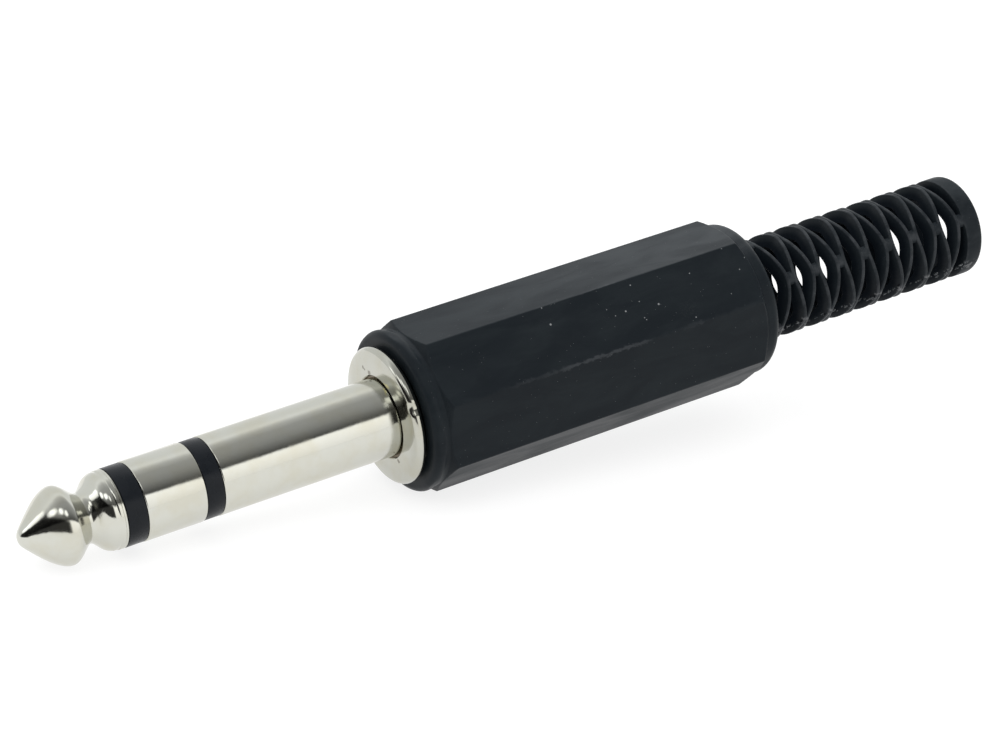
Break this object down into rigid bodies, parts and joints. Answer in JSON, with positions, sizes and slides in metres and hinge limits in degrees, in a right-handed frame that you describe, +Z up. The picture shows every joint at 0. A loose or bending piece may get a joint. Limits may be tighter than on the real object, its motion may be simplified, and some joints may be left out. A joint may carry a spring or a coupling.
{
  "type": "stereo jack plug",
  "caption": "Straight three-contact audio plug with a stepped nickel-plated shaft, a faceted black screw cover and a slotted bend relief.",
  "frame": {"origin": "middle of the bounding box, at the floor", "axes": "+X runs from the tip toward the cable, +Z up. The plug lies as it comes to rest: on the ball of its tip and the flat at the foot of the cover's front lip, so its own axis rises toward the cable by 6.63 degrees."},
  "size_m": [0.0875, 0.013, 0.017],
  "materials": {
    "tip_contact": "polished nickel plating",
    "tip_insulator": "smooth black",
    "ring_contact": "polished nickel plating",
    "ring_insulator": "smooth black",
    "sleeve_contact": "polished nickel plating",
    "threaded_flange": "polished nickel plating",
    "ground_lug": "satin tin plating",
    "rear_washer_a": "dull dark fibre",
    "rear_washer_b": "dull dark fibre",
    "ring_lug": "satin tin plating",
    "tip_lug": "satin tin plating",
    "screw_cover": "fine satin moulding"
  },
  "bodies": {
    "plug": {"tip_contact": "tip_contact", "tip_insulator": "tip_insulator", "ring_contact": "ring_contact", "ring_insulator": "ring_insulator", "sleeve_contact": "sleeve_contact", "threaded_flange": "threaded_flange", "ground_lug": "ground_lug", "rear_washer_a": "rear_washer_a", "rear_washer_b": "rear_washer_b", "ring_lug": "ring_lug", "tip_lug": "tip_lug"},
    "cover": {"screw_cover": "screw_cover"}
  },
  "joints": [
    {"name": "cover_off", "type": "slide", "parent": "plug", "child": "cover", "axis": [0.9933, 0, 0.1155], "range_m": [0, 0.03]}
  ]
}
